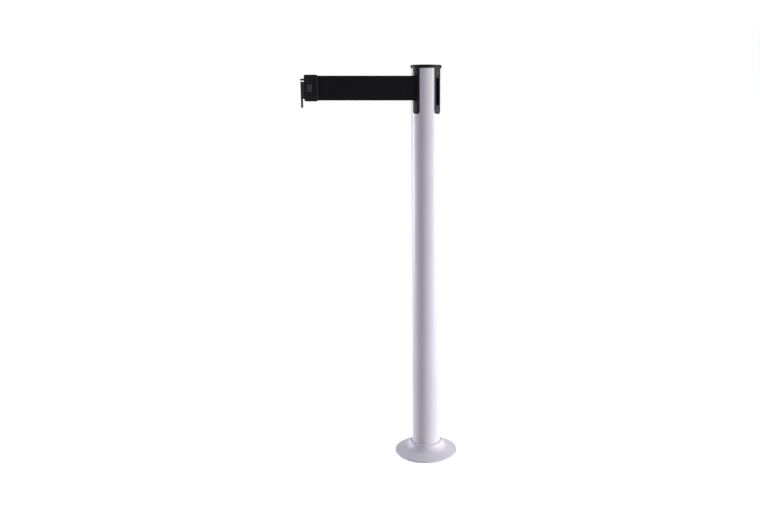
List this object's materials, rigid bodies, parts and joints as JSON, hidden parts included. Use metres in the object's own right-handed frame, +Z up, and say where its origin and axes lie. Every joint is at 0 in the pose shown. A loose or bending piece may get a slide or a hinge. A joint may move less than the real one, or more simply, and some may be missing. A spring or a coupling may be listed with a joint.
{
  "type": "retractable belt stanchion",
  "caption": "Floor-fixed white post with a bell cover at its foot and a black belt head that lets out a retractable webbing belt with a latching belt end.",
  "frame": {"origin": "where the tube's axis meets the floor, on the underside of the floor flange", "axes": "+Z up along the tube; the belt leaves through the strip that faces -X and runs 49 degrees from -X towards +Y"},
  "size_m": [0.2639, 0.2529, 0.864],
  "materials": {
    "white_paint": "satin",
    "black_plastic": "satin",
    "webbing": "woven",
    "zinc_steel": "zinc plated",
    "bright_steel": "ground",
    "spring_steel": "blued",
    "black_screws": "black oxide",
    "cast_aluminium": "cast and turned",
    "pale_plastic": "natural",
    "bush_plastic": "sintered",
    "brake_lining": "moulded",
    "grey_rubber": "matte"
  },
  "bodies": {
    "post": {"floor_flange": "zinc_steel", "post_spigot": "cast_aluminium", "spigot_screws": "zinc_steel", "tube_screws": "zinc_steel", "post_tube": "white_paint", "top_cap": "black_plastic", "cap_screw": "black_screws", "receiver_front": "black_plastic", "receiver_side": "black_plastic", "receiver_back": "black_plastic", "belt_guide": "black_plastic", "strip_screws": "black_screws", "cassette_base": "black_plastic", "cassette_top": "black_plastic", "cassette_shell": "black_plastic", "spool_shaft": "bright_steel", "belt_lead": "webbing", "spring_case": "pale_plastic", "spring_cover": "pale_plastic", "power_spring": "spring_steel", "brake_drum": "bright_steel"},
    "cover": {"base_cover": "white_paint", "cover_grip_ring": "grey_rubber"},
    "spool": {"spool": "pale_plastic", "lower_bush": "bush_plastic", "upper_bush": "bush_plastic", "belt_roll": "webbing", "brake_pins": "bright_steel"},
    "brake_a": {"brake_shoe_a": "brake_lining"},
    "brake_b": {"brake_shoe_b": "brake_lining"},
    "belt": {"belt_strip": "webbing"},
    "belt_end": {"belt_end_front": "black_plastic", "belt_end_back": "black_plastic", "belt_tail": "webbing", "belt_pin": "bright_steel", "belt_end_screws": "black_screws", "belt_hook": "black_plastic"},
    "button": {"release_button": "black_plastic", "button_spring": "spring_steel"}
  },
  "joints": [
    {"name": "cover_lift", "type": "slide", "parent": "post", "child": "cover", "axis": [0, 0, 1], "range_m": [0, 0.73]},
    {"name": "belt_swing", "type": "hinge", "parent": "post", "child": "belt", "pos_m": [-0.0329, 0, 0.816], "axis": [0, 0, 1], "range_deg": [-11, 109]},
    {"name": "belt_pull", "type": "slide", "parent": "belt", "child": "belt_end", "axis": [0.6561, -0.7547, 0], "range_m": [0, 0.186], "deforming": ["belt_strip"]},
    {"name": "spool_spin", "type": "hinge", "parent": "post", "child": "spool", "pos_m": [0, 0, 0.816], "axis": [0, 0, 1], "range_deg": [0, 560], "deforming": ["power_spring"]},
    {"name": "brake_a_swing", "type": "hinge", "parent": "spool", "child": "brake_a", "pos_m": [0.0159, 0, 0.848], "axis": [0, 0, 1], "range_deg": [-3.5, 0]},
    {"name": "brake_b_swing", "type": "hinge", "parent": "spool", "child": "brake_b", "pos_m": [-0.0159, 0, 0.848], "axis": [0, 0, 1], "range_deg": [-3.5, 0]},
    {"name": "button_press", "type": "slide", "parent": "belt_end", "child": "button", "axis": [0.7547, 0.6561, 0], "range_m": [0, 0.0015], "stiffness_N_per_m": 600, "springref_m": -0.002, "deforming": ["button_spring"]}
  ],
  "couplings": [
    {"joint": "spool_spin", "follows": "belt_pull", "rad_per_m": 51.541}
  ]
}
